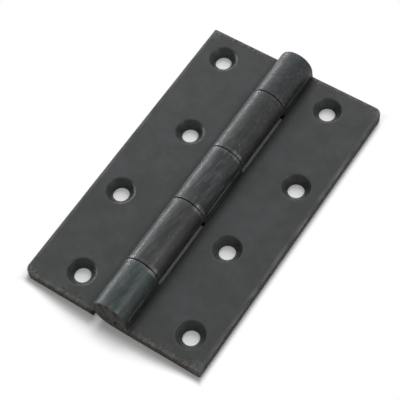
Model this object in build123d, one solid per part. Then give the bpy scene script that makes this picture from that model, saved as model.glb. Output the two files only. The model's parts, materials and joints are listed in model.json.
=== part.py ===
from build123d import *
import os
from math import radians, tan

# Driving dimensions of the open hinge, in millimetres
LEAF_LENGTH = 100.0       # along the pin
LEAF_REACH = 30.0         # from the pin's axis to a leaf's outer edge
SHEET = 3.0               # thickness of the rolled steel sheet
PIN_DIAMETER = 5.0
PIN_PLAY = 0.05           # running clearance round the pin, on the radius

END_KNUCKLE = 16.6        # the right leaf's knuckles at the ends of the barrel
MIDDLE_KNUCKLE = 20.0     # the right leaf's knuckle in the middle
KNUCKLE_GAP = 0.35        # between neighbouring knuckles
NOTCH_CLEARANCE = 0.25    # between a leaf and the other leaf's knuckles
SEAM_GAP = 0.3            # under the free edge of a rolled knuckle
SEAM_SPRING = 4.0         # degrees that the straight free edge springs outwards

SCREW_ROWS = 4            # screw holes in one leaf
END_MARGIN = 8.5          # from a leaf's end to its first hole
INNER_ROW = 15.6          # from the pin's axis to the holes near the barrel
OUTER_MARGIN = 8.4        # from a leaf's outer edge to the holes near it
SCREW_HOLE = 5.0
COUNTERSINK = 9.0         # countersink's diameter at the face
COUNTERSINK_ANGLE = 90.0

ROUND_CORNER = 2.5        # one outer corner of each leaf is rounded
BLUNT_CORNER = 0.5        # the other is only dulled
FACE_EDGE = 0.3           # rolled-over edge round the face of a leaf
BACK_EDGE = 0.15          # dulled edge round the back of a leaf
RIM_BEVEL = 0.6           # ground bevel on the ends of the barrel
JOINT_BEVEL = 0.15        # dulled rims between the knuckles
PIN_CROWN = 0.1           # crown ground on the ends of the pin

# Sizes that follow from them
BORE_RADIUS = PIN_DIAMETER / 2 + PIN_PLAY
BARREL_RADIUS = BORE_RADIUS + SHEET
AXIS_HEIGHT = BARREL_RADIUS
NOTCH_EDGE = BARREL_RADIUS + NOTCH_CLEARANCE
HALF_LENGTH = LEAF_LENGTH / 2
LEFT_KNUCKLE = (LEAF_LENGTH - 2 * END_KNUCKLE - MIDDLE_KNUCKLE - 4 * KNUCKLE_GAP) / 2
KNUCKLE_LENGTHS = [END_KNUCKLE, LEFT_KNUCKLE, MIDDLE_KNUCKLE, LEFT_KNUCKLE, END_KNUCKLE]
OUTER_ROW = LEAF_REACH - OUTER_MARGIN
HOLE_PITCH = (LEAF_LENGTH - 2 * END_MARGIN) / (SCREW_ROWS - 1)
TOUCH = 0.001             # tolerance for picking edges by their place


def knuckle_spans():
    """Start and end of each knuckle along Y, from the near end to the far end."""
    spans = []
    start = -HALF_LENGTH
    for length in KNUCKLE_LENGTHS:
        spans.append((start, start + length))
        start += length + KNUCKLE_GAP
    return spans


def rolled_sheet():
    """A flat leaf to +X whose edge is rolled under the pin, up, over it and down to its height."""
    axis = Location((0, AXIS_HEIGHT))
    low_quarter = Rectangle(BARREL_RADIUS, BARREL_RADIUS, align=(Align.MIN, Align.MAX))
    curl = axis * (Circle(BARREL_RADIUS) - Circle(BORE_RADIUS) - low_quarter)
    flat = Rectangle(LEAF_REACH, SHEET, align=(Align.MIN, Align.MIN))
    return extrude(Plane.XZ * (curl + flat), amount=HALF_LENGTH, both=True)


def straight_end(start, end):
    """The free edge of a rolled knuckle, which stays straight and springs out a little at its seam."""
    drop = BORE_RADIUS - SEAM_GAP
    spring = drop * tan(radians(SEAM_SPRING))
    outline = Polyline(
        (BORE_RADIUS, AXIS_HEIGHT),
        (BARREL_RADIUS, AXIS_HEIGHT),
        (BARREL_RADIUS + spring, AXIS_HEIGHT - drop),
        (BORE_RADIUS + spring, AXIS_HEIGHT - drop),
        close=True,
    )
    strip = extrude(Plane.XZ * make_face(outline), amount=(end - start) / 2, both=True)
    strip = Pos(0, (start + end) / 2, 0) * strip
    outer_face = strip.faces().sort_by(Axis.X).last
    ground = outer_face.edges().filter_by(lambda edge: abs((edge @ 0.5).Y) > HALF_LENGTH - TOUCH)
    if ground:
        strip = chamfer(ground, RIM_BEVEL)
    outer_face = strip.faces().sort_by(Axis.X).last
    below_axis = outer_face.edges().filter_by(lambda edge: (edge @ 0.5).Z < AXIS_HEIGHT - TOUCH)
    worn = below_axis.filter_by(lambda edge: abs((edge @ 0.5).Y) < HALF_LENGTH - RIM_BEVEL - TOUCH)
    return chamfer(worn, JOINT_BEVEL)


def knuckle_notch(start, end):
    """The room in a leaf for one knuckle of the other leaf, open past the leaf's ends."""
    near = start - KNUCKLE_GAP
    far = end + KNUCKLE_GAP
    block = Box(2 * NOTCH_EDGE, far - near, 2 * NOTCH_EDGE)
    return Pos(0, (near + far) / 2, AXIS_HEIGHT) * block


def screw_hole(x, y):
    """A through hole with a countersink in the face."""
    drill = Cylinder(SCREW_HOLE / 2, 2 * SHEET)
    depth = (COUNTERSINK - SCREW_HOLE) / 2 / tan(radians(COUNTERSINK_ANGLE / 2))
    top_align = (Align.CENTER, Align.CENTER, Align.MAX)
    sink = Cone(SCREW_HOLE / 2, COUNTERSINK / 2, depth, align=top_align)
    return Pos(x, y, SHEET) * (drill + sink)


def outer_corners(leaf):
    """The upright edges at the outer corners of a leaf that are still sharp, near one first."""
    upright = leaf.edges().filter_by(Axis.Z)
    upright = upright.filter_by(lambda edge: edge.center().X > LEAF_REACH - TOUCH)
    return upright.sort_by(Axis.Y)


def outline_edges(leaf, height):
    """The outer long edge, the two ends and the corners of a leaf at one height."""
    level = leaf.edges().filter_by(lambda edge: abs(edge.bounding_box().max.Z - height) < TOUCH)
    level = level.filter_by(lambda edge: abs(edge.bounding_box().min.Z - height) < TOUCH)

    def on_outline(edge):
        middle = edge @ 0.5
        at_end = abs(middle.Y) > HALF_LENGTH - TOUCH
        reaches_out = edge.bounding_box().max.X > LEAF_REACH - TOUCH
        return reaches_out or (at_end and middle.X > NOTCH_EDGE - TOUCH)

    return level.filter_by(on_outline)


def barrel_rims(leaf, at_ends):
    """Outer rims of the knuckles, either on the barrel's ends or at the joints between them."""
    rims = leaf.edges().filter_by(GeomType.CIRCLE)
    rims = rims.filter_by(lambda edge: abs(edge.radius - BARREL_RADIUS) < TOUCH)
    end_line = HALF_LENGTH - TOUCH
    return rims.filter_by(lambda edge: (abs((edge @ 0.5).Y) > end_line) == at_ends)


def leaf_to_right(own_knuckles):
    """A leaf to +X that keeps the knuckles at the given places and is notched for the rest."""
    leaf = rolled_sheet()
    for place, (start, end) in enumerate(knuckle_spans()):
        if place not in own_knuckles:
            leaf -= knuckle_notch(start, end)
    for row in range(SCREW_ROWS):
        distance = OUTER_ROW if row % 2 == 0 else INNER_ROW
        leaf -= screw_hole(distance, -HALF_LENGTH + END_MARGIN + row * HOLE_PITCH)

    leaf = fillet(outer_corners(leaf).last, ROUND_CORNER)
    leaf = fillet(outer_corners(leaf).first, BLUNT_CORNER)
    leaf = fillet(outline_edges(leaf, SHEET), FACE_EDGE)
    leaf = chamfer(outline_edges(leaf, 0), BACK_EDGE)
    leaf = chamfer(barrel_rims(leaf, at_ends=False), JOINT_BEVEL)
    end_rims = barrel_rims(leaf, at_ends=True)
    if end_rims:
        leaf = chamfer(end_rims, RIM_BEVEL)
    for place in own_knuckles:
        leaf += straight_end(*knuckle_spans()[place])
    return leaf


def hinge_pin():
    """The pin, its ends ground flush with the barrel."""
    pin = Rot(X=90) * Cylinder(PIN_DIAMETER / 2, LEAF_LENGTH)
    pin = chamfer(pin.edges().filter_by(GeomType.CIRCLE), PIN_CROWN)
    return Pos(0, 0, AXIS_HEIGHT) * pin


right_leaf = leaf_to_right(own_knuckles=(0, 2, 4))
left_leaf = Rot(Z=180) * leaf_to_right(own_knuckles=(1, 3))

os.makedirs("parts", exist_ok=True)
export_step(right_leaf, "parts/right_leaf.step")
export_step(left_leaf, "parts/left_leaf.step")
export_step(hinge_pin(), "parts/hinge_pin.step")
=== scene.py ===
import json
from functools import partialmethod
from math import cos, exp, pi, radians, sin

import bmesh
import bpy
from bpy.props import FloatProperty, FloatVectorProperty, IntProperty, PointerProperty
from mathutils import Color, Matrix, Vector


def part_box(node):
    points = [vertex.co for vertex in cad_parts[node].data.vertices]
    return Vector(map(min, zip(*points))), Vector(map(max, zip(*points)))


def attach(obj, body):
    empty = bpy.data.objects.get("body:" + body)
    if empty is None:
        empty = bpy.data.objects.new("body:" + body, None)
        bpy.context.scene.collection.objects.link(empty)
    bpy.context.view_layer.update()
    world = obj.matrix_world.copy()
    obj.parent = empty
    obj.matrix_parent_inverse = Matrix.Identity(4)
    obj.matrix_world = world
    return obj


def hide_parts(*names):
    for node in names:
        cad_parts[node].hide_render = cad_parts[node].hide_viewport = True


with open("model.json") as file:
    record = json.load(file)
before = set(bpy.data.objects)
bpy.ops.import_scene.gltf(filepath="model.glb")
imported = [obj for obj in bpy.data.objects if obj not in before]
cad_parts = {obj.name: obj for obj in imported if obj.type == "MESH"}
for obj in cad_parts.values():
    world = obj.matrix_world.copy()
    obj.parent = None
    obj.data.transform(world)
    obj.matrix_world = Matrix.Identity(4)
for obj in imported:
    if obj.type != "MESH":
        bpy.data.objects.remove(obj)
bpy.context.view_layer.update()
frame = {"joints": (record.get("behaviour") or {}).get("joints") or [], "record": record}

bl_info = {
    "name": "Butt hinge",
    "version": (1, 0, 0),
    "blender": (4, 5, 0),
    "location": "3D View > Sidebar > Hinge",
    "description": "Builds a blackened steel butt hinge round its packed frame",
    "category": "Add Mesh",
}

MM = 0.001
MIDDLE = (0.0, 0.0, 0.0)
SOCKETS = {tuple: "Vector", float: "Float", int: "Int"}  # of a node group, by the type of the default
RIGHT_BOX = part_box("right_leaf")
PIN_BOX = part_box("hinge_pin")
MOUNTS = {mount["name"]: mount for mount in frame["record"]["mounts"]}
FOLD = frame["joints"][0]
OUTER_HOLES = MOUNTS["right_outer"]
INNER_HOLES = MOUNTS["right_inner"]
HOLE_SPACING = OUTER_HOLES["dims"]["spacing_y_mm"] * MM
RIGHT_KNUCKLES = (0, 2, 4)  # places along the barrel, from the near end
LEFT_KNUCKLES = (1, 3)

# Steps of the meshes
CURL_ANGLE = 1.5 * pi  # the rolled part of a knuckle, from the back of the leaf round to the axis height
CURL_STEPS = 60
STRAIGHT_STEPS = 4
KNUCKLE_COLUMNS = 10
CORNER_STEPS = 8
ROUND_SEGMENTS = 64  # of the holes and the pin
EDGE_STEP = 2.0 * MM  # spacing of the points along the long edges of the outline
MERGE_DISTANCE = 0.004 * MM
PLACE_DIGITS = 6  # decimals of a metre by which a point of the outline is found again
NEARLY_STRAIGHT = 0.7  # cosine of the turn up to which two edges of the outline run on into each other
ROUND_ANGLES = (0.0, 30.0, 60.0, 90.0)
CROWN_STEPS = (1.0, 0.66, 0.33, 0.15, 0.0)
CROWN_SPREAD = 4  # width of the crown on the pin's ends, in its heights

# A countersink's rim, in roundings of the rim: its loops, and where it is worn and where it is sunk
LIP_FOOT = 2.5
LIP_BEND = 0.7
LIP_TOP = 1.0
LIP_MARGIN = 4.0
LIP_WORN = (1.5, 0.2)
LIP_SUNK = 0.9

# Shares of wear and of painted highlight that are stored on the leaves
EDGE_WEAR = 1.2  # outer edges
END_WEAR = 0.4  # ends of the barrel, and notches
JOINT_WEAR = 1.0  # rims between the knuckles
FLANK_HIGHLIGHT = 3.0  # painted highlight on those rims at FLANK_TURN radians from the top, over FLANK_SPREAD
FLANK_TURN = 0.8
FLANK_SPREAD = 0.3
SEAM_WEAR_AND_HIGHLIGHT = 6.0  # free edges of the knuckles: wear and a painted highlight line
CREASE_HIGHLIGHT = {-1: 0.8, 0: 4.0, 1: 0.2}  # painted highlight line where a knuckle's straight end starts, by rows from there
MARGIN_WEAR_AND_HIGHLIGHT = 0.4  # part of an edge's wear and painted highlight on the margin beside it
LIP_WEAR = 0.14  # rims of the countersinks

# Shared effects
PATCH_RANGE = (0.3, 0.7)
SPECK_RANGE = (0.3, 0.75)
SPECKS_PER_PATCH = 9.0
WAVES_PER_GRAIN = 0.08
BREAKUP_RANGE = (0.35, 0.7)


def marks(turn, size, sparseness, softness):
    """Inputs of the scratches: turn in degrees, a mark's size in millimetres, and how they thin out."""
    return {
        "Turn": [radians(angle) for angle in turn], "Mark_Size": [length * MM for length in size],
        "Sparseness": sparseness, "Softness": softness,
    }


STREAKS = marks((0.0, 0.0, -6.0), (0.9, 5.0, 0.9), 0.30, 0.36)
NICKS = marks((0.0, 0.0, -55.0), (1.6, 0.16, 1.6), 0.71, 0.04)
GRINDING = marks((0.0, -10.0, 0.0), (0.5, 4.0, 4.0), 0.42, 0.2)
PIN_NICKS = marks((0.0, 14.0, 0.0), (0.14, 2.0, 1.5), 0.68, 0.05)

# Finish of the steel
LEAF_PATCHES = 160.0
RUBBED_PATCHES = 330.0
PIN_PATCHES = 300.0
LEAF_GRAIN = {"Grain_Scale": 2600.0, "Waves": 2.0}
PIN_GRAIN = {"Grain_Scale": 3000.0, "Waves": 1.0}
LEAF_WEAR_AND_HIGHLIGHT = {"Breakup_Scale": 1000.0, "Amount": 0.5}
WEAR_AND_HIGHLIGHT_STRETCH = (1.0, 0.15, 1.0)  # draws the wear and the painted highlights out along the pin
STEEL_SPECULAR = 0.3
BARE_AND_LIT_METALLIC = 0.7
BUMP_STRENGTH = 0.4
BUMP_DEPTH = 0.03 * MM
MARK_HEIGHT = 3.0  # of grinding marks and sheared edges, in heights of the grain

# Stretches over which one finish or painted shade gives way to another
BARREL_FOOT = (0.3 * MM, 1.5 * MM)  # above the face of a leaf
GROUND_END = (-0.7 * MM, -0.1 * MM)  # from the ends of the barrel
DIRTY_END = (-4.5 * MM, -0.3 * MM)  # from the ends of a leaf
DIRTY_SIDE = (-5.0 * MM, -0.5 * MM)  # from a leaf's outer edge
BROWN_SIDE = (-3.0 * MM, 2.5 * MM)  # across the barrel
PAINTED_SHADE_SIDE = (-0.8 * MM, 3.4 * MM)  # painted shade on the barrel's right side, across the barrel
PAINTED_SHADE_START = 1.0 * MM  # painted shade on the barrel's right side starts this far before the end of the near knuckle
PAINTED_SHADE_BESIDE = 3.5 * MM  # painted shade beside the barrel reaches this far out from it
PAINTED_SHADE_ABOVE = 3.0 * MM  # painted shade low on the barrel fades out this far above the axis height
SEAM_SIDE = (0.83, 0.95)  # across the barrel, in its radii
SPOT_RANGE = (0.2, 0.6)
DIRT_RANGE = (0.3, 0.8)

# Shares of the finishes and of the painted shade, and slope and start of those that follow a pattern
SPECK_SHARE = 0.15
BARREL_SHARE = 0.9
# painted shade low beside the barrel
PAINTED_SHADE_SHARE = 0.85
DIRT_SHARE = 0.7
SHEARED_SHARE = 0.85
CORNER_SHARE = 0.35
PIN_NICK_SHARE = 0.4
FAR_STREAKS = 0.3
STREAK_BREAKS = (0.7, 0.3)
# painted shade on the barrel's right side, weaker on its streaks
PAINTED_SHADE_BETWEEN = (-0.6, 0.75)
# speckled painted shade in the countersinks
SINK_SHADE_SPECKS = (0.6, 0.25)
NICK_SHARE = (0.8, 0.04)
LEAF_ROUGHNESS = (-0.06, 0.40)
PATCH_ROUGHNESS = 0.07
STREAK_ROUGHNESS = 0.10
CUT_ROUGHNESS = 0.60
PIN_ROUGHNESS = (0.12, 0.86)

# Studio: the floor's own shading shows round the hinge, and white further out
FLOOR_REACH = 3.0
WHITE = (1.0, 1.0, 1.0, 1.0)
SHADOW_START = 0.5 * MM
SHADOW_ACROSS = (3.0 * MM, 30.0 * MM)  # from the axis, where the shadow's reach is the two below
SHADOW_REACH = (8.0 * MM, 2.5 * MM)
SIDE_SHADOW = 2.0 * MM
UNDER_LEAF = (-2.0 * MM, -4.0 * MM)  # from the outline of the hinge
OFF_BARREL = (8.0 * MM, 10.0 * MM)  # from the axis
LEAST_WHITE = 0.02
SENSOR_WIDTH = 36.0
CLIP_START = 0.01
LIGHTS = {  # by power setting: place, size, aim, and the rays that don't see the light
    "overhead": ((-0.30, 1.00, 0.62), (0.7, 0.7), MIDDLE, "visible_glossy"),
    "left": ((-0.60, 0.31, 0.43), (0.45, 0.30), MIDDLE, None),
    "strip": ((-0.60, 0.12, 0.06), (0.9, 0.04), MIDDLE, "visible_diffuse"),
    "side": ((0.28, 0.02, 0.27), (0.12, 0.10), (0.0, -0.03, 0.0), "visible_diffuse"),
}


def amount(name, description, default, **options):
    return FloatProperty(name=name, description=description, default=default, **options)


def metres(name, description, default, least=0.0):
    return amount(name, description, default, min=least, unit="LENGTH", precision=5)


def degrees(name, description, default):
    return amount(name, description, radians(default), subtype="ANGLE")


def watts(name, light, default):
    return amount(name, f"Power of the {light}, in watts", default, min=0.0, subtype="POWER")


def colour(name, description, default):
    return FloatVectorProperty(
        name=name, description=description, default=default, size=3, subtype="COLOR", min=0.0, max=1.0,
    )


class HingeSizes(bpy.types.PropertyGroup):
    """Sizes of the hinge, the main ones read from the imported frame"""
    leaf_length: metres("Leaf length", "Length along the pin", RIGHT_BOX[1].y - RIGHT_BOX[0].y)
    leaf_reach: metres("Leaf reach", "From the pin's axis to a leaf's outer edge", RIGHT_BOX[1].x)
    barrel_radius: metres("Barrel radius", "Outside of the rolled knuckles", FOLD["pos_m"][2])
    pin_radius: metres("Pin radius", "Radius of the pin", (PIN_BOX[1].x - PIN_BOX[0].x) / 2)
    pin_play: metres("Pin play", "Clearance round the pin", 0.05 * MM)
    end_knuckle: metres("End knuckle", "Length of the knuckles at the barrel's ends", 16.6 * MM)
    middle_knuckle: metres("Middle knuckle", "Length of the knuckle in the middle", 20.0 * MM)
    knuckle_gap: metres("Knuckle gap", "Gap between neighbouring knuckles", 0.35 * MM)
    notch_clearance: metres("Notch clearance", "From a leaf to the other's knuckles", 0.25 * MM)
    seam_gap: metres("Seam gap", "Under the free edge of a rolled knuckle", 0.3 * MM)
    seam_spring: degrees("Seam spring", "By how much the straight free edge springs outwards", 4.0)
    screw_rows: IntProperty(name="Screw rows", description="Screw holes in one leaf", default=4, min=1)
    first_hole: metres(
        "First hole", "Place of a leaf's first screw hole along the pin",
        OUTER_HOLES["pos_m"][1] - HOLE_SPACING / 2, least=-1.0,
    )
    hole_pitch: metres("Hole pitch", "From a screw hole to the next along the pin", HOLE_SPACING / 2)
    outer_row: metres("Outer row", "From the axis to the outer screw holes", OUTER_HOLES["pos_m"][0])
    inner_row: metres("Inner row", "From the axis to the inner screw holes", INNER_HOLES["pos_m"][0])
    hole_radius: metres("Hole radius", "Radius of a hole", OUTER_HOLES["dims"]["hole_r_mm"] * MM)
    countersink_radius: metres("Countersink radius", "Its radius at the face", 4.5 * MM)
    countersink_lip: metres("Countersink lip", "Rounding of the countersink's rim", 0.1 * MM)
    round_corner: metres("Round corner", "Radius of the one rounded corner", 2.5 * MM)
    blunt_corner: metres("Blunt corner", "Radius of the other corner", 0.5 * MM)
    face_edge: metres("Face edge", "Rolled-over edge round the face", 0.3 * MM)
    back_edge: metres("Back edge", "Dulled edge round the back", 0.15 * MM)
    notch_edge: metres("Notch edge", "Dulled edge in the notches", 0.1 * MM)
    joint_bevel: metres("Joint bevel", "Dulled rims between the knuckles", 0.15 * MM)
    rim_bevel: metres("Rim bevel", "Rounding ground on the barrel's ends", 0.6 * MM)
    wear_margin: metres("Wear margin", "How far an edge's wear runs on to the face", 0.5 * MM)
    seam_margin: metres("Seam margin", "How far the wear of a free edge runs on", 0.17 * MM)
    pin_crown: metres("Pin crown", "Crown ground on the pin's ends", 0.1 * MM)


class HingeFinish(bpy.types.PropertyGroup):
    """Colours of the steel, its wear, its painted highlights and its painted shade"""
    dark: colour("Dark wax", "Darker patches of the blackened steel", (0.037, 0.0400, 0.0395))
    light: colour("Light wax", "Lighter patches of the blackened steel", (0.050, 0.0545, 0.0570))
    burnished: colour("Burnished", "Dark wax on the handled barrel", (0.0250, 0.0287, 0.0303))
    streaked: colour("Streaked", "Bluish streaks on the barrel", (0.066, 0.0752, 0.0795))
    brown: colour("Brown", "Streaks on the left leaf's knuckles, and specks", (0.059, 0.0545, 0.0455))
    greenish: colour("Greenish", "Greenish wax on the near knuckle", (0.019, 0.0320, 0.0308))
    sheared: colour("Sheared edge", "Rough dark brown of the sheared edges", (0.018, 0.0150, 0.0120))
    dirt: colour("Dirt", "Dirt on the sheared edges and the leaves' ends", (0.080, 0.0720, 0.0580))
    # rubbed steel, and also the colour of the painted highlight lines on creases, free edges and joint
    # flanks
    rubbed_and_lit: colour("Rubbed steel", "Bare steel on edges and in scratches", (0.27, 0.270, 0.260))
    # painted shade on the barrel's right side, low beside the barrel and in the countersinks
    painted_shade: colour("Grime", "Wax beside the barrel and in the countersinks", (0.006, 0.0065, 0.0065))
    scored: colour("Scored", "Lighter streaks that the grinding left", (0.070, 0.0660, 0.0590))
    ground: colour("Ground steel", "Ends of the barrel and the pin", (0.029, 0.0268, 0.0238))


class StudioSettings(bpy.types.PropertyGroup):
    """Camera, floor and lights"""
    azimuth: degrees("Azimuth", "Camera's direction round the hinge", 39.52)
    elevation: degrees("Elevation", "Camera's height above the floor as an angle", 59.34)
    roll: degrees("Roll", "Camera's turn about its own axis", -7.0)
    distance: metres("Distance", "Camera's distance from the middle of the pin", 396.8 * MM)
    aside: metres("Aside", "Camera's step to the right", -2.69 * MM, least=-1.0)
    raised: metres("Raised", "Camera's step upwards", -4.29 * MM, least=-1.0)
    lens: amount("Lens", "Focal length in millimetres", 123.1, subtype="DISTANCE_CAMERA")
    floor: colour("Floor", "Colour of the floor", (0.95, 0.95, 0.95))
    glow: amount("Glow", "Share of plain white on the floor under the screw holes", 0.15)
    daylight: amount("Daylight", "Strength of the even light all round", 0.38)
    overhead: watts("Overhead", "soft light behind", 18.0)
    left: watts("Left", "soft light above on the left", 0.33)
    strip: watts("Strip", "low strip light on the left", 3.6)
    side: watts("Side", "soft light behind on the right", 0.44)


SETTINGS = {"hinge_sizes": HingeSizes, "hinge_finish": HingeFinish, "hinge_studio": StudioSettings}


def settings_of(context):
    return [getattr(context.scene, name) for name in SETTINGS]


class Net:
    """Adds nodes to a tree and links them by their inputs' names. A node stands for its first output."""

    def __init__(self, tree):
        self.tree = tree

    def add(self, kind, options=None, **inputs):
        made = self.tree.nodes.new(kind)
        for option, setting in (options or {}).items():
            setattr(made, option, setting)
        for name, given in inputs.items():
            self.feed(made.inputs[name.replace("_", " ")], given)
        return made

    def feed(self, socket, given):
        if isinstance(given, bpy.types.Node):
            given = given.outputs[0]
        if isinstance(given, bpy.types.NodeSocket):
            self.tree.links.new(given, socket)
        else:
            socket.default_value = (*given, 1.0) if isinstance(given, Color) else given

    def effect(self, name, position, **inputs):
        """One of the shared effects, built by the first material that asks for it."""
        tree = bpy.data.node_groups.get(name) or EFFECTS[name]()
        return self.add("ShaderNodeGroup", {"node_tree": tree}, Position=position, **inputs)

    def put_out(self, kind="Float", **outputs):
        """Gives a node group its outputs."""
        for name in outputs:
            self.tree.interface.new_socket(name, in_out="OUTPUT", socket_type=f"NodeSocket{kind}")
        self.add("NodeGroupOutput", **outputs)
        return self.tree

    def axes(self, position):
        return self.add("ShaderNodeSeparateXYZ", Vector=position).outputs

    def vector(self, **axes):
        return self.add("ShaderNodeCombineXYZ", **axes)

    def stored(self, name):
        """A value that is stored on the mesh."""
        return self.add("ShaderNodeAttribute", {"attribute_name": name}).outputs["Fac"]

    def noise(self, position, scale, **look):
        return self.add("ShaderNodeTexNoise", Vector=position, Scale=scale, **look)

    def math(self, operation, *values, clamp=False):
        made = self.add("ShaderNodeMath", {"operation": operation, "use_clamp": clamp})
        for socket, given in zip(made.inputs, values):
            self.feed(socket, given)
        return made

    def chain(self, operation, first, *others):
        for other in others:
            first = self.math(operation, first, other)
        return first

    plus = partialmethod(math, "ADD")
    minus = partialmethod(math, "SUBTRACT")
    times_plus = partialmethod(math, "MULTIPLY_ADD")
    times = partialmethod(chain, "MULTIPLY")
    most = partialmethod(chain, "MAXIMUM")

    def between(self, value, low, high):
        """One where a value lies between two others, and none elsewhere."""
        return self.times(self.math("GREATER_THAN", value, low), self.math("LESS_THAN", value, high))

    def ramp(self, value, low, high, to_low=0.0, to_high=1.0):
        ends = {"From_Min": low, "From_Max": high, "To_Min": to_low, "To_Max": to_high}
        return self.add("ShaderNodeMapRange", {"interpolation_type": "SMOOTHSTEP"}, Value=value, **ends)

    def ramp_from(self, origin, stretch, value):
        """A ramp over a stretch that is measured from an origin."""
        return self.ramp(value, origin + stretch[0], origin + stretch[1])

    def blend(self, factor, first, second):
        made = self.add("ShaderNodeMix", {"data_type": "RGBA"})
        *taken, result = [socket for socket in (*made.inputs, *made.outputs) if socket.enabled]
        for socket, given in zip(taken, (factor, first, second)):
            self.feed(socket, given)
        return result


def fresh_net(holder):
    """The emptied node tree of a material or a world."""
    holder.use_nodes = True
    holder.node_tree.nodes.clear()
    return Net(holder.node_tree)


def group_net(name, inputs, kind="Shader"):
    """The net of a new node group and what it is given, from its inputs' defaults or types."""
    tree = bpy.data.node_groups.new(name, f"{kind}NodeTree")
    for label, default in inputs.items():
        held = SOCKETS.get(type(default), default)
        socket = tree.interface.new_socket(label, in_out="INPUT", socket_type=f"NodeSocket{held}")
        if held != default:
            socket.default_value = default
    return Net(tree), tree.nodes.new("NodeGroupInput").outputs


def wax_mottle_group():
    """Cloudy patches where the wax lies thicker and thinner, and fine specks."""
    inputs = {"Position": MIDDLE, "Patch Scale": 150.0}
    net, given = group_net("Wax mottle", inputs)
    patches = net.noise(given["Position"], given["Patch Scale"], Detail=5.0, Roughness=0.6)
    speck_scale = net.times(given["Patch Scale"], SPECKS_PER_PATCH)
    specks = net.noise(given["Position"], speck_scale, Detail=3.0, Roughness=0.7)
    return net.put_out(Patches=net.ramp(patches, *PATCH_RANGE), Specks=net.ramp(specks, *SPECK_RANGE))


def rolled_grain_group():
    """Fine unevenness of hot rolled steel under the wax, as a height."""
    inputs = {"Position": MIDDLE, "Grain Scale": 2500.0, "Waves": 1.0}
    net, given = group_net("Rolled grain", inputs)
    grain = net.noise(given["Position"], given["Grain Scale"], Detail=4.0, Roughness=0.6)
    wave_scale = net.times(given["Grain Scale"], WAVES_PER_GRAIN)
    waves = net.noise(given["Position"], wave_scale, Detail=2.0, Roughness=0.5)
    return net.put_out(Height=net.plus(grain, net.times(waves, given["Waves"])))


def scratches_group():
    """Thin marks of a given size, which lie turned on the surface."""
    inputs = {
        "Position": MIDDLE, "Turn": MIDDLE, "Mark Size": (1.0, 1.0, 1.0),
        "Sparseness": 0.7, "Softness": 0.05,
    }
    net, given = group_net("Scratches", inputs)
    laid = net.add(
        "ShaderNodeMapping", {"vector_type": "TEXTURE"}, Vector=given["Position"], Rotation=given["Turn"],
        Scale=given["Mark Size"],
    )
    lines = net.noise(laid, 1.0, Detail=2.0, Roughness=0.5)
    upper = net.plus(given["Sparseness"], given["Softness"])
    return net.put_out(Mask=net.ramp(lines, given["Sparseness"], upper))


def edge_wear_and_highlight_group():
    """Broken-up wear and painted highlight lines along the edges, from the share of both stored on the mesh.
    """
    inputs = {"Position": MIDDLE, "Worn": 0.0, "Breakup Scale": 700.0, "Amount": 0.5}
    net, given = group_net("Edge wear", inputs)
    breakup = net.noise(given["Position"], given["Breakup Scale"], Detail=4.0, Roughness=0.65)
    rubbed_and_lit = net.times(net.ramp(breakup, *BREAKUP_RANGE), given["Worn"])
    return net.put_out(Mask=net.math("MULTIPLY", rubbed_and_lit, given["Amount"], clamp=True))


EFFECTS = {
    "Wax mottle": wax_mottle_group, "Rolled grain": rolled_grain_group, "Scratches": scratches_group,
    "Edge wear": edge_wear_and_highlight_group,
}


def steel_material(name):
    material = bpy.data.materials.new(name)
    net = fresh_net(material)
    shader = net.add("ShaderNodeBsdfPrincipled", Specular_IOR_Level=STEEL_SPECULAR)
    net.add("ShaderNodeOutputMaterial", Surface=shader)
    return material, net, shader, net.add("ShaderNodeTexCoord").outputs["Object"]


def dress_steel(net, shader, finish, tone, bare_and_lit, roughness, height):
    """Feeds a steel's shader with its colour, the share of bare steel and painted highlight, its roughness
    and its height.
    """
    net.feed(shader.inputs["Base Color"], net.blend(bare_and_lit, tone, finish.rubbed_and_lit))
    net.feed(shader.inputs["Metallic"], net.times(bare_and_lit, BARE_AND_LIT_METALLIC))
    net.feed(shader.inputs["Roughness"], roughness)
    bump = net.add("ShaderNodeBump", Strength=BUMP_STRENGTH, Distance=BUMP_DEPTH, Height=height)
    net.feed(shader.inputs["Normal"], bump)


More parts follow.
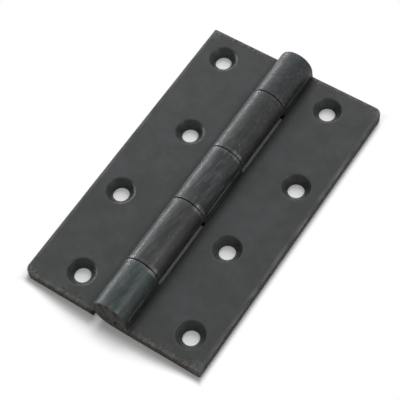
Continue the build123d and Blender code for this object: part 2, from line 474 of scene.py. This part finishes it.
class LeafSteel:
    """Works out a leaf's looks over its surface: waxed flat, handled barrel, ground ends, sheared edges."""

    def __init__(self, sizes, finish, net, position):
        self.sizes, self.finish, self.net = sizes, finish, net
        self.x, self.y, self.z = net.axes(position)
        self.across, self.along = net.math("ABSOLUTE", self.x), net.math("ABSOLUTE", self.y)
        self.sheared, self.sunk = net.stored("sheared"), net.stored("sunk")
        mottle = net.effect("Wax mottle", position, Patch_Scale=LEAF_PATCHES)
        self.patches, self.specks = mottle.outputs
        self.spots = net.ramp(self.specks, *SPOT_RANGE)
        self.rubbing = net.effect("Wax mottle", position, Patch_Scale=RUBBED_PATCHES)
        self.grain = net.effect("Rolled grain", position, **LEAF_GRAIN)
        # The stored share of wear and painted highlight lines, broken up
        drawn_out = net.add("ShaderNodeMapping", Vector=position, Scale=WEAR_AND_HIGHLIGHT_STRETCH)
        self.wear_and_highlight = net.effect("Edge wear", drawn_out, Worn=net.stored("worn"), **LEAF_WEAR_AND_HIGHLIGHT)
        self.streaks, self.nicks, self.grinding = [
            net.effect("Scratches", position, **kind) for kind in (STREAKS, NICKS, GRINDING)
        ]
        half = sizes.leaf_length / 2
        spans = knuckle_spans(sizes)
        self.on_barrel = net.ramp_from(sheet_thickness(sizes), BARREL_FOOT, self.z)
        self.off_barrel = net.minus(1.0, self.on_barrel)
        self.at_end = net.times(net.ramp_from(half, GROUND_END, self.along), self.on_barrel)
        self.near_end = net.ramp_from(half, DIRTY_END, self.along)
        self.nearer = net.ramp(self.y, spans[4][0], spans[3][0], FAR_STREAKS, 1.0)

    def leaf_tone(self):
        """Cloudy wax with brownish specks."""
        waxed = self.net.blend(self.patches, self.finish.dark, self.finish.light)
        return self.net.blend(self.net.times(self.specks, SPECK_SHARE), waxed, self.finish.brown)

    def barrel_tone(self):
        """Streaks on dark wax: brownish on the left leaf's knuckles, spots at the far end, and painted shade
        on its right side past the near knuckle.
        """
        net, finish = self.net, self.finish
        spans = knuckle_spans(self.sizes)
        inner = spans[2][1] + self.sizes.knuckle_gap / 2
        outer = spans[4][0] - self.sizes.knuckle_gap / 2
        browned = net.times(net.between(self.along, inner, outer), net.ramp(self.x, *BROWN_SIDE))
        streak_tone = net.blend(browned, finish.streaked, finish.brown)
        streaked = net.times(self.streaks, self.nearer)
        streaks_and_spots = net.times_plus(net.minus(1.0, self.nearer), self.spots, streaked)
        broken = net.times(streaks_and_spots, net.times_plus(self.rubbing, *STREAK_BREAKS))
        wax_tone = net.blend(net.math("LESS_THAN", self.y, -outer), finish.burnished, finish.greenish)
        streaky = net.blend(broken, wax_tone, streak_tone)
        # Painted shade on the barrel's right side past the near knuckle, weaker on its streaks
        past_near = net.ramp(self.y, spans[0][1] - PAINTED_SHADE_START, spans[1][1])
        shaded_side = net.times(past_near, net.ramp(self.x, *PAINTED_SHADE_SIDE))
        return net.blend(net.times(shaded_side, net.times_plus(broken, *PAINTED_SHADE_BETWEEN)), streaky, finish.painted_shade)

    def tone(self):
        """Colour of the steel under its bare and highlighted share, with painted shade low beside the barrel
        and speckled painted shade in the countersinks.
        """
        net, finish, barrel = self.net, self.finish, self.sizes.barrel_radius
        clean = net.blend(net.times(self.on_barrel, BARREL_SHARE), self.leaf_tone(), self.barrel_tone())
        # Painted shade low beside the barrel, and speckled in the countersinks
        low = net.ramp(self.z, barrel + PAINTED_SHADE_ABOVE, sheet_thickness(self.sizes))
        beside = net.times(net.ramp(self.across, barrel + PAINTED_SHADE_BESIDE, barrel), low)
        shade_in_sinks = net.times(self.sunk, net.times_plus(self.specks, *SINK_SHADE_SPECKS))
        with_painted_shade = net.blend(net.most(net.times(beside, PAINTED_SHADE_SHARE), shade_in_sinks), clean, finish.painted_shade)
        cut_tone = net.blend(self.spots, finish.sheared, finish.dirt)
        patchy = net.times(net.ramp(self.rubbing, *DIRT_RANGE), net.times(self.off_barrel, DIRT_SHARE))
        dirtied = net.blend(net.times(self.near_end, patchy), with_painted_shade, cut_tone)
        rough_cut = net.blend(net.times(self.sheared, SHEARED_SHARE), dirtied, cut_tone)
        return net.blend(self.at_end, rough_cut, net.blend(self.grinding, finish.ground, finish.scored))

    def bare_and_lit(self):
        """Share of bare steel and painted highlight: on edges, less on the far joints, in nicks and at the
        leaf's corners; painted highlight lines on the creases, the free edges and the joint flanks.
        """
        net, sizes = self.net, self.sizes
        nicked = net.times(self.nicks, net.times_plus(self.on_barrel, *NICK_SHARE))
        at_corner = net.times(self.near_end, net.ramp_from(sizes.leaf_reach, DIRTY_SIDE, self.across))
        corner = net.times(at_corner, net.times(self.spots, CORNER_SHARE))
        by_seam = net.ramp(self.x, *(share * sizes.barrel_radius for share in SEAM_SIDE))
        rubbed_and_lit = net.times(self.wear_and_highlight, net.most(self.nearer, self.off_barrel, by_seam))
        return net.most(rubbed_and_lit, nicked, corner)

    def roughness(self):
        net = self.net
        even = net.times_plus(self.on_barrel, *LEAF_ROUGHNESS)
        patchy = net.times_plus(self.patches, PATCH_ROUGHNESS, even)
        streaky = net.times_plus(net.times(self.streaks, self.on_barrel), STREAK_ROUGHNESS, patchy)
        return net.times_plus(net.most(self.sheared, self.at_end), CUT_ROUGHNESS, streaky)

    def height(self):
        net = self.net
        scored = net.times_plus(net.times(self.grinding, self.at_end), MARK_HEIGHT, self.grain)
        return net.times_plus(net.times(self.sheared, self.specks), MARK_HEIGHT, scored)


def blackened_steel(sizes, finish):
    """Blackened and waxed steel of the leaves."""
    material, net, shader, position = steel_material("blackened_steel")
    steel = LeafSteel(sizes, finish, net, position)
    dress_steel(net, shader, finish, steel.tone(), steel.bare_and_lit(), steel.roughness(), steel.height())
    return material


def pin_steel(finish):
    """Dark steel of the pin, ground on its ends with the barrel."""
    material, net, shader, position = steel_material("pin_steel")
    mottle = net.effect("Wax mottle", position, Patch_Scale=PIN_PATCHES)
    grain = net.effect("Rolled grain", position, **PIN_GRAIN)
    grinding = net.effect("Scratches", position, **GRINDING)
    nicks = net.effect("Scratches", position, **PIN_NICKS)
    tone = net.blend(grinding, finish.ground, finish.scored)
    roughness = net.times_plus(mottle.outputs["Specks"], *PIN_ROUGHNESS)
    height = net.times_plus(grinding, MARK_HEIGHT, grain)
    dress_steel(net, shader, finish, tone, net.times(nicks, PIN_NICK_SHARE), roughness, height)
    return material


def knuckle_spans(sizes):
    """Start and end of each knuckle along Y, from the near end to the far end."""
    taken = 2 * sizes.end_knuckle + sizes.middle_knuckle + 4 * sizes.knuckle_gap
    between = (sizes.leaf_length - taken) / 2
    spans = []
    start = -sizes.leaf_length / 2
    for length in (sizes.end_knuckle, between, sizes.middle_knuckle, between, sizes.end_knuckle):
        spans.append((start, start + length))
        start += length + sizes.knuckle_gap
    return spans


def bore_radius(sizes):
    return sizes.pin_radius + sizes.pin_play


def sheet_thickness(sizes):
    return sizes.barrel_radius - bore_radius(sizes)


def notch_line(sizes):
    """From the axis to the edge of a notch."""
    return sizes.barrel_radius + sizes.notch_clearance


def tab_rows(sizes):
    """Distances along a flat tab, from where it starts to curl to its free edge."""
    rolled = (sizes.barrel_radius + bore_radius(sizes)) / 2 * CURL_ANGLE
    straight = (bore_radius(sizes) - sizes.seam_gap) / cos(sizes.seam_spring)
    rows = [rolled * step / CURL_STEPS for step in range(CURL_STEPS + 1)]
    return rows + [rolled + straight * step / STRAIGHT_STEPS for step in range(1, STRAIGHT_STEPS + 1)]


def tab_columns(start, end):
    return [start + (end - start) * step / KNUCKLE_COLUMNS for step in range(KNUCKLE_COLUMNS + 1)]


def round_about():
    """Cosine and sine of evenly spaced angles round a circle."""
    angles = [2 * pi * segment / ROUND_SEGMENTS for segment in range(ROUND_SEGMENTS)]
    return [(cos(angle), sin(angle)) for angle in angles]


def corner_points(x, y, radius, turn):
    """A rounded outer corner, from turn degrees to a quarter more, about the centre set in from (x, y)."""
    centre = Vector((x - radius, y - radius if y > 0 else y + radius))
    angles = [radians(turn + 90.0 * step / CORNER_STEPS) for step in range(CORNER_STEPS + 1)]
    return [centre + radius * Vector((cos(angle), sin(angle))) for angle in angles]


def points_between(first, last):
    """Evenly spaced points between two corners, without them."""
    count = max(1, round((last - first).length / EDGE_STEP))
    return [first.lerp(last, step / count) for step in range(1, count)]


def blank_outline(sizes, spans):
    """The flat blank of a leaf to +X, anticlockwise, with its tabs stretched out to -X."""
    half = sizes.leaf_length / 2
    notch = notch_line(sizes)
    rows = tab_rows(sizes)
    near = corner_points(sizes.leaf_reach, -half, sizes.blunt_corner, -90.0)
    far = corner_points(sizes.leaf_reach, half, sizes.round_corner, 0.0)
    points = near + points_between(near[-1], far[0]) + far
    points += points_between(far[-1], Vector((notch, half)))
    if spans[-1][1] < half - MM:
        points.append(Vector((notch, half)))
    for start, end in reversed(spans):
        points.append(Vector((notch, end)))
        points += [Vector((-row, end)) for row in rows]
        points += [Vector((-rows[-1], y)) for y in reversed(tab_columns(start, end)[1:-1])]
        points += [Vector((-row, start)) for row in reversed(rows)]
        points.append(Vector((notch, start)))
    if spans[0][0] > -half + MM:
        points.append(Vector((notch, -half)))
    points += points_between(Vector((notch, -half)), near[0])
    return points


def step_in(before, after, first, second):
    """The step from a corner of the outline that sets the edges before and after it in by two amounts."""
    left = Vector((-before.y, before.x))
    right = Vector((-after.y, after.x))
    if left.dot(right) > NEARLY_STRAIGHT:
        return (left + right) / (1.0 + left.dot(right)) * (first + second) / 2
    cross = left.x * right.y - left.y * right.x
    return Vector(((first * right.y - second * left.y) / cross, (second * left.x - first * right.x) / cross))


def edge_sizes(sizes, middle):
    """Rounding on the face and the back, share of wear and painted highlight and its margin, for the edge
    with this middle.
    """
    face, back, wear_and_highlight, margin = sizes.notch_edge, sizes.back_edge, END_WEAR, sizes.wear_margin
    at_end = abs(abs(middle.y) - sizes.leaf_length / 2) < MERGE_DISTANCE
    # Free edges: wear and a painted highlight line
    if middle.x < MERGE_DISTANCE - tab_rows(sizes)[-1]:
        back, wear_and_highlight, margin = sizes.joint_bevel, SEAM_WEAR_AND_HIGHLIGHT, sizes.seam_margin
    elif middle.x < 0.0 and at_end:
        back = sizes.rim_bevel
    elif middle.x < 0.0:
        # Joint rims: wear, and a painted highlight at FLANK_TURN from the top
        from_top = abs(-2 * middle.x / (sizes.barrel_radius + bore_radius(sizes)) - pi)
        flank = exp(-((from_top - FLANK_TURN) / FLANK_SPREAD) ** 2)
        back, wear_and_highlight = sizes.joint_bevel, JOINT_WEAR + FLANK_HIGHLIGHT * flank
    elif at_end or middle.x > notch_line(sizes) + MERGE_DISTANCE:
        face, wear_and_highlight = sizes.face_edge, EDGE_WEAR
    return face, back, wear_and_highlight, margin


def edge_profile(face, back, wear_and_highlight, margin, sheet):
    """Set-in, height, share of wear and painted highlight, and shearing of each loop round an edge, from the
    face over to the back.
    """

    def rounded(radius):
        """The same with the depth below the flat for the height, from the flat to the edge."""
        steps = []
        for angle in ROUND_ANGLES:
            turn = radians(angle)
            rubbed_and_lit = wear_and_highlight * (MARGIN_WEAR_AND_HIGHLIGHT + (1.0 - MARGIN_WEAR_AND_HIGHLIGHT) * sin(2 * turn))
            steps.append((radius * (1.0 - sin(turn)), radius * (1.0 - cos(turn)), rubbed_and_lit, angle / 90.0))
        return steps

    on_margin = wear_and_highlight * MARGIN_WEAR_AND_HIGHLIGHT
    loops = [(face + 2 * margin, sheet, 0.0, 0.0), (face + margin, sheet, on_margin, 0.0)]
    loops += [(inset, sheet - depth, rubbed_and_lit, cut) for inset, depth, rubbed_and_lit, cut in rounded(face)]
    loops.append((0.0, sheet / 2, 0.0, 1.0))
    loops += reversed(rounded(back))
    return loops + [(back + margin, 0.0, on_margin, 0.0), (back + 2 * margin, 0.0, 0.0, 0.0)]


def outline_loops(sizes, mesh, outline, worn, sheared):
    """The loops of points round the edges of a blank. Points that meet in a tight corner are one."""
    count = len(outline)
    ways = [(outline[number] - outline[number - 1]).normalized() for number in range(count)]
    middles = [(outline[number] + outline[number - 1]) / 2 for number in range(count)]
    profiles = [edge_profile(*edge_sizes(sizes, middle), sheet_thickness(sizes)) for middle in middles]
    loops = []
    for level in range(len(profiles[0])):
        loop = []
        for number, point in enumerate(outline):
            after = (number + 1) % count
            first, second = profiles[number][level], profiles[after][level]
            place = point + step_in(ways[number], ways[after], first[0], second[0])
            if point.x > notch_line(sizes) + MERGE_DISTANCE:
                place.x = min(place.x, sizes.leaf_reach - first[0])
                limit = sizes.leaf_length / 2 - first[0]
                place.y = max(-limit, min(limit, place.y))
            if loop and (loop[-1].co.xy - place).length < MERGE_DISTANCE:
                loop.append(loop[-1])
                continue
            height, rubbed_and_lit, cut = ((one + other) / 2 for one, other in zip(first[1:], second[1:]))
            vertex = mesh.verts.new((*place, height))
            vertex[worn], vertex[sheared] = rubbed_and_lit, cut
            loop.append(vertex)
        loops.append(loop)
    return loops


def join_loops(mesh, first, second):
    """Faces between two loops with as many points."""
    for place in range(len(first)):
        after = (place + 1) % len(first)
        corners = list(dict.fromkeys((first[place], second[place], second[after], first[after])))
        if len(corners) > 2:
            mesh.faces.new(corners)


def fill_flat(mesh, rim, holes, up):
    """Fills the flat inside a rim of points and outside its round holes."""
    edges = []
    for loop in [rim, *holes]:
        for place, point in enumerate(loop):
            pair = (loop[place - 1], point)
            edges.append(mesh.edges.get(pair) or mesh.edges.new(pair))
    normal = (0.0, 0.0, 1.0 if up else -1.0)
    made = bmesh.ops.triangle_fill(mesh, edges=edges, use_beauty=True, normal=normal)
    for face in (item for item in made["geom"] if isinstance(item, bmesh.types.BMFace)):
        face.normal_update()
        if (face.normal.z > 0) != up:
            face.normal_flip()


def hole_places(sizes):
    rows = (sizes.outer_row, sizes.inner_row)
    return [
        Vector((rows[row % 2], sizes.first_hole + row * sizes.hole_pitch)) for row in range(sizes.screw_rows)
    ]


def place_key(x, y):
    return round(x, PLACE_DIGITS), round(y, PLACE_DIGITS)


def tab_grid(mesh, rows, columns, height, on_outline, worn, wear_and_highlight):
    """Points of one side of a flat tab, row by row. Those on its edges are the outline's own."""
    grid = []
    for number, row in enumerate(rows):
        line = []
        for column, y in enumerate(columns):
            if column in (0, len(columns) - 1) or number == len(rows) - 1:
                line.append(on_outline[place_key(-row, y)])
            else:
                vertex = mesh.verts.new((-row, y, height))
                # The painted highlight line along a knuckle's crease, given for the back side only
                vertex[worn] = wear_and_highlight.get(number - CURL_STEPS, 0.0)
                line.append(vertex)
        grid.append(line)
    return grid


def flat_blank(sizes, spans):
    """A leaf before its tabs are rolled: flat, with rounded edges and round openings for its holes."""
    mesh = bmesh.new()
    worn = mesh.verts.layers.float.new("worn")
    sheared = mesh.verts.layers.float.new("sheared")
    outline = blank_outline(sizes, spans)
    loops = outline_loops(sizes, mesh, outline, worn, sheared)
    for first, second in zip(loops, loops[1:]):
        join_loops(mesh, first, second)

    rows = tab_rows(sizes)
    face_opening = sizes.countersink_radius + LIP_MARGIN * sizes.countersink_lip
    back_opening = sizes.hole_radius + sizes.back_edge
    # The back side carries the painted highlight line along each knuckle's crease
    for loop, height, up, wear_and_highlight, radius in (
        (loops[0], sheet_thickness(sizes), True, {}, face_opening),
        (loops[-1], 0.0, False, CREASE_HIGHLIGHT, back_opening),
    ):
        on_outline = {place_key(*point): vertex for point, vertex in zip(outline, loop)}
        rim = list(dict.fromkeys(vertex for point, vertex in zip(outline, loop) if point.x > MERGE_DISTANCE))
        for start, end in spans:
            grid = tab_grid(mesh, rows, tab_columns(start, end), height, on_outline, worn, wear_and_highlight)
            for line, after in zip(grid, grid[1:]):
                for column in range(KNUCKLE_COLUMNS):
                    corners = [line[column], line[column + 1], after[column + 1], after[column]]
                    mesh.faces.new(corners if up else corners[::-1])
            place = rim.index(on_outline[place_key(notch_line(sizes), end)]) + 1
            rim[place:place] = grid[0][::-1]
        ring = [(radius * x, radius * y) for x, y in round_about()]
        spots = hole_places(sizes)
        holes = [[mesh.verts.new((spot.x + x, spot.y + y, height)) for x, y in ring] for spot in spots]
        fill_flat(mesh, rim, holes, up)
    return finished_mesh(mesh, "flat_blank")


def finished_mesh(mesh, name):
    made = bpy.data.meshes.new(name)
    mesh.to_mesh(made)
    mesh.free()
    return made


def leaf_measures(sizes):
    """The measures that shape a leaf's holes and knuckles, by the names of its tree's inputs."""
    own = (
        "Barrel Radius", "Seam Spring", "First Hole", "Hole Pitch", "Outer Row", "Inner Row", "Hole Radius",
        "Countersink Radius", "Countersink Lip", "Back Edge",
    )
    measures = {name: getattr(sizes, name.lower().replace(" ", "_")) for name in own}
    measures.update({"Sheet": sheet_thickness(sizes), "Bore Radius": bore_radius(sizes)})
    return {"Screw Rows": sizes.screw_rows, **measures}


def countersunk_hole(net, given):
    """The wall of one screw hole, with its rubbed rim and its sunk part marked."""
    sheet, hole, sink, lip = (
        given[name] for name in ("Sheet", "Hole Radius", "Countersink Radius", "Countersink Lip")
    )

    def off_rim(share):
        return net.times_plus(lip, share, sink)

    def below_face(share):
        return net.times_plus(lip, -share, sheet)

    land = net.minus(sheet, net.minus(sink, hole))
    wall = [
        (net.plus(hole, given["Back Edge"]), 0.0), (hole, given["Back Edge"]), (hole, land),
        (off_rim(-LIP_FOOT), below_face(LIP_FOOT)), (off_rim(-LIP_BEND), below_face(LIP_BEND)),
        (off_rim(LIP_TOP), sheet), (off_rim(LIP_MARGIN), sheet),
    ]
    rings = net.add("GeometryNodeJoinGeometry")
    for (low_radius, low), (high_radius, high) in zip(wall, wall[1:]):
        ring = net.add(
            "GeometryNodeMeshCone", {"fill_type": "NONE"}, Vertices=ROUND_SEGMENTS, Radius_Top=high_radius,
            Radius_Bottom=low_radius, Depth=net.minus(high, low),
        )
        raised = net.add("GeometryNodeTransform", Geometry=ring, Translation=net.vector(Z=low))
        net.feed(rings.inputs["Geometry"], raised)
    welded = net.add("GeometryNodeMergeByDistance", Geometry=rings, Distance=MERGE_DISTANCE)
    wall_mesh = net.add("GeometryNodeFlipFaces", Mesh=welded)
    height = net.axes(net.add("GeometryNodeInputPosition"))["Z"]
    on_lip = net.between(height, *(below_face(share) for share in LIP_WORN))
    below = net.math("LESS_THAN", height, below_face(LIP_SUNK))
    for name, share in (("worn", net.times(on_lip, LIP_WEAR)), ("sunk", below)):
        wall_mesh = net.add("GeometryNodeStoreNamedAttribute", Geometry=wall_mesh, Name=name, Value=share)
    return wall_mesh


def holes_in_rows(net, given):
    """The screw holes of a leaf, staggered between its two rows."""
    start = net.vector(X=given["Outer Row"], Y=given["First Hole"])
    pitch = net.vector(Y=given["Hole Pitch"])
    line = net.add("GeometryNodeMeshLine", Count=given["Screw Rows"], Start_Location=start, Offset=pitch)
    odd = net.math("MODULO", net.add("GeometryNodeInputIndex"), 2.0)
    stagger = net.times(odd, net.minus(given["Inner Row"], given["Outer Row"]))
    staggered = net.add("GeometryNodeSetPosition", Geometry=line, Offset=net.vector(X=stagger))
    return net.add("GeometryNodeInstanceOnPoints", Points=staggered, Instance=countersunk_hole(net, given))


def roll_tabs(net, given, blank):
    """Rolls what reaches past the axis round the barrel, and leaves its end straight."""
    x, y, z = net.axes(net.add("GeometryNodeInputPosition"))
    run = net.times(x, -1.0)
    barrel, spring = given["Barrel Radius"], given["Seam Spring"]
    middle = net.times(net.plus(barrel, given["Bore Radius"]), 0.5)
    angle = net.math("MINIMUM", net.math("DIVIDE", run, middle), CURL_ANGLE)
    straight = net.most(net.minus(run, net.times(middle, CURL_ANGLE)), 0.0)
    radius = net.minus(barrel, z)
    around = net.times(net.math("SINE", angle), net.times(radius, -1.0))
    out = net.times_plus(straight, net.math("SINE", spring), around)
    over = net.minus(barrel, net.times(net.math("COSINE", angle), radius))
    down = net.minus(over, net.times(straight, net.math("COSINE", spring)))
    on_tab = net.math("GREATER_THAN", run, 0.0)
    place = net.vector(X=out, Y=y, Z=down)
    return net.add("GeometryNodeSetPosition", Geometry=blank, Selection=on_tab, Position=place)


def leaf_nodes(sizes):
    """Geometry nodes that set the countersunk holes into a flat blank and roll its tabs into knuckles."""
    inputs = {"Geometry": "Geometry", "Material": "Material", **leaf_measures(sizes)}
    net, given = group_net("Hinge leaf", inputs, "Geometry")
    joined = net.add("GeometryNodeJoinGeometry")
    net.feed(joined.inputs["Geometry"], given["Geometry"])
    net.feed(joined.inputs["Geometry"], holes_in_rows(net, given))
    real = net.add("GeometryNodeRealizeInstances", Geometry=joined)
    blank = net.add("GeometryNodeMergeByDistance", Geometry=real, Distance=MERGE_DISTANCE)
    smooth = net.add("GeometryNodeSetShadeSmooth", Geometry=roll_tabs(net, given, blank))
    dressed = net.add("GeometryNodeSetMaterial", Geometry=smooth, Material=given["Material"])
    return net.put_out("Geometry", Geometry=dressed)


def set_inputs(modifier, values):
    """Sets a geometry nodes modifier's inputs by their sockets' identifiers."""
    items = modifier.node_group.interface.items_tree
    sockets = {item.name: item.identifier for item in items if item.in_out == "INPUT"}
    for name, given in values.items():
        modifier[sockets[name]] = given


def placed(name, data):
    """A new object in the scene."""
    made = bpy.data.objects.new(name, data)
    bpy.context.scene.collection.objects.link(made)
    return made


def finished_piece(name, mesh, turn, body, node):
    """A piece of the hinge that stands for its CAD node and rides on its body."""
    mesh.transform(turn)
    mesh.name = name
    piece = placed(name, mesh)
    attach(piece, body)
    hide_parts(node)
    return piece


def rolled_leaf(sizes, tree, material, own_knuckles):
    """The mesh of one leaf to +X: its blank, run through the leaf's geometry nodes."""
    spans = [span for place, span in enumerate(knuckle_spans(sizes)) if place in own_knuckles]
    bench = placed("bench", flat_blank(sizes, spans))
    nodes = bench.modifiers.new("Hinge leaf", "NODES")
    nodes.node_group = tree
    set_inputs(nodes, {"Material": material, **leaf_measures(sizes)})
    normals = bench.modifiers.new("Flat faces", "WEIGHTED_NORMAL")
    normals.mode = "FACE_AREA"
    normals.weight = 100
    graph = bpy.context.evaluated_depsgraph_get()
    evaluated = bench.evaluated_get(graph)
    mesh = bpy.data.meshes.new_from_object(evaluated, preserve_all_data_layers=True, depsgraph=graph)
    bpy.data.objects.remove(bench)
    return mesh


class HINGE_OT_leaves(bpy.types.Operator):
    """Roll the two leaves from flat blanks with countersunk holes"""
    bl_idname = "hinge.leaves"
    bl_label = "Leaves"

    def execute(self, context):
        sizes, finish, _ = settings_of(context)
        steel = blackened_steel(sizes, finish)
        tree = leaf_nodes(sizes)
        right = rolled_leaf(sizes, tree, steel, RIGHT_KNUCKLES)
        left = rolled_leaf(sizes, tree, steel, LEFT_KNUCKLES)
        unturned, turned = Matrix.Identity(4), Matrix.Rotation(pi, 4, "Z")
        finished_piece("right_leaf_rolled", right, unturned, "right_half", "right_leaf")
        finished_piece("left_leaf_rolled", left, turned, "left_half", "left_leaf")
        return {"FINISHED"}


class HINGE_OT_pin(bpy.types.Operator):
    """Turn the pin and grind its ends flush with the barrel"""
    bl_idname = "hinge.pin"
    bl_label = "Pin"

    def execute(self, context):
        sizes, finish, _ = settings_of(context)
        half, crown = sizes.leaf_length / 2, sizes.pin_crown
        profile = [
            (sizes.pin_radius - crown * CROWN_SPREAD * share, half - crown * (1 - share) ** 2)
            for share in CROWN_STEPS
        ]
        profile += [(radius, -along) for radius, along in reversed(profile)]
        mesh = bmesh.new()
        ring, axis = round_about(), sizes.barrel_radius
        loops = [[mesh.verts.new((r * x, along, axis + r * z)) for x, z in ring] for r, along in profile]
        for first, second in zip(loops, loops[1:]):
            join_loops(mesh, first, second)
        mesh.faces.new(loops[0])
        mesh.faces.new(loops[-1])
        bmesh.ops.recalc_face_normals(mesh, faces=mesh.faces)
        for face in mesh.faces:
            face.smooth = len(face.verts) == 4
        made = finished_mesh(mesh, "pin_ground")
        made.materials.append(pin_steel(finish))
        finished_piece("pin_ground", made, Matrix.Identity(4), "right_half", "hinge_pin")
        return {"FINISHED"}


def soft_light(name, place, size, aim, power):
    lamp = bpy.data.lights.new(name, "AREA")
    lamp.shape = "RECTANGLE"
    lamp.size, lamp.size_y = size
    lamp.energy = power
    light = placed(name, lamp)
    light.location = place
    light.rotation_mode = "QUATERNION"
    light.rotation_quaternion = (Vector(aim) - Vector(place)).to_track_quat("-Z", "Y")
    return light


def seen_directly(net):
    """One for rays that show a surface to the camera, straight or by mirror or glass, else none."""
    path = net.add("ShaderNodeLightPath")
    return net.most(*(path.outputs[f"Is {kind} Ray"] for kind in ("Camera", "Glossy", "Transmission")))


def floor_material(sizes, studio):
    """Floor that is plain white round the hinge, and shaded along its edges and under the barrel."""
    material = bpy.data.materials.new("white_floor")
    net = fresh_net(material)
    x, y, _ = net.axes(net.add("ShaderNodeTexCoord").outputs["Object"])
    across, along = net.math("ABSOLUTE", x), net.math("ABSOLUTE", y)
    half = sizes.leaf_length / 2
    aside = net.minus(across, sizes.leaf_reach)
    beyond = net.most(aside, net.minus(along, half))
    reach = net.ramp(across, *SHADOW_ACROSS, *SHADOW_REACH)
    off_far_sides = net.ramp(net.most(aside, net.minus(y, half)), 0.0, SIDE_SHADOW)
    outside = net.most(net.ramp(beyond, SHADOW_START, reach), off_far_sides)
    under_leaf = net.times(net.ramp(beyond, *UNDER_LEAF), net.ramp(across, *OFF_BARREL))
    plain = net.most(outside, net.times_plus(under_leaf, studio.glow, LEAST_WHITE))
    shown = net.add("ShaderNodeMixShader", Fac=net.times(plain, seen_directly(net)))
    net.feed(shown.inputs[1], net.add("ShaderNodeBsdfDiffuse", Color=studio.floor))
    net.feed(shown.inputs[2], net.add("ShaderNodeEmission", Strength=1.0))
    net.add("ShaderNodeOutputMaterial", Surface=shown)
    return material


def camera_place(sizes, studio):
    """The camera's place and turn, from its angles round the middle of the pin."""
    azimuth, elevation, roll = studio.azimuth, studio.elevation, studio.roll
    back = Vector((sin(azimuth) * cos(elevation), -cos(azimuth) * cos(elevation), sin(elevation)))
    right = Vector((cos(azimuth), sin(azimuth), 0.0))
    up = back.cross(right)
    turned_right = right * cos(roll) + up * sin(roll)
    turned_up = up * cos(roll) - right * sin(roll)
    place = Matrix((turned_right, turned_up, back)).transposed().to_4x4()
    centre = Vector((0.0, 0.0, sizes.barrel_radius))
    place.translation = centre + back * studio.distance + right * studio.aside + up * studio.raised
    return place


class HINGE_OT_studio(bpy.types.Operator):
    """Set the floor, the soft lights and the camera"""
    bl_idname = "hinge.studio"
    bl_label = "Studio"

    def execute(self, context):
        sizes, _, studio = settings_of(context)
        scene = context.scene
        scene.view_settings.view_transform = "Standard"

        mesh = bpy.data.meshes.new("floor")
        corners = [(x * FLOOR_REACH, y * FLOOR_REACH, 0.0) for x, y in ((-1, -1), (1, -1), (1, 1), (-1, 1))]
        mesh.from_pydata(corners, [], [(0, 1, 2, 3)])
        mesh.materials.append(floor_material(sizes, studio))
        floor = placed("floor", mesh)

        world = bpy.data.worlds.new("daylight")
        net = fresh_net(world)
        strength = net.ramp(seen_directly(net), 0.0, 1.0, studio.daylight, 1.0)
        sky = net.add("ShaderNodeBackground", Color=WHITE, Strength=strength)
        net.add("ShaderNodeOutputWorld", Surface=sky)
        scene.world = world

        for name, (place, size, aim, unseen_by) in LIGHTS.items():
            light = soft_light(f"{name}_light", place, size, aim, getattr(studio, name))
            if unseen_by:
                setattr(light, unseen_by, False)

        lens = bpy.data.cameras.new("camera")
        lens.lens = studio.lens
        lens.sensor_width = SENSOR_WIDTH
        lens.clip_start = CLIP_START
        camera = placed("camera", lens)
        camera.matrix_world = camera_place(sizes, studio)
        scene.camera = camera
        return {"FINISHED"}


class HINGE_PT_parts(bpy.types.Panel):
    """Lists the hinge's operators and settings"""
    bl_idname = "HINGE_PT_parts"
    bl_label = "Butt hinge"
    bl_space_type = "VIEW_3D"
    bl_region_type = "UI"
    bl_category = "Hinge"

    def draw(self, context):
        for operator in OPERATORS:
            self.layout.operator(operator.bl_idname)
        for group in settings_of(context):
            box = self.layout.box()
            for name in group.__annotations__:
                box.prop(group, name)


OPERATORS = (HINGE_OT_leaves, HINGE_OT_pin, HINGE_OT_studio)
CLASSES = (*SETTINGS.values(), *OPERATORS, HINGE_PT_parts)


def register():
    for cls in CLASSES:
        bpy.utils.register_class(cls)
    for name, group in SETTINGS.items():
        setattr(bpy.types.Scene, name, PointerProperty(type=group))


def unregister():
    for name in SETTINGS:
        delattr(bpy.types.Scene, name)
    for cls in reversed(CLASSES):
        bpy.utils.unregister_class(cls)


def main():
    register()
    bpy.ops.hinge.leaves()
    bpy.ops.hinge.pin()
    bpy.ops.hinge.studio()


if __name__ == "__main__":
    main()
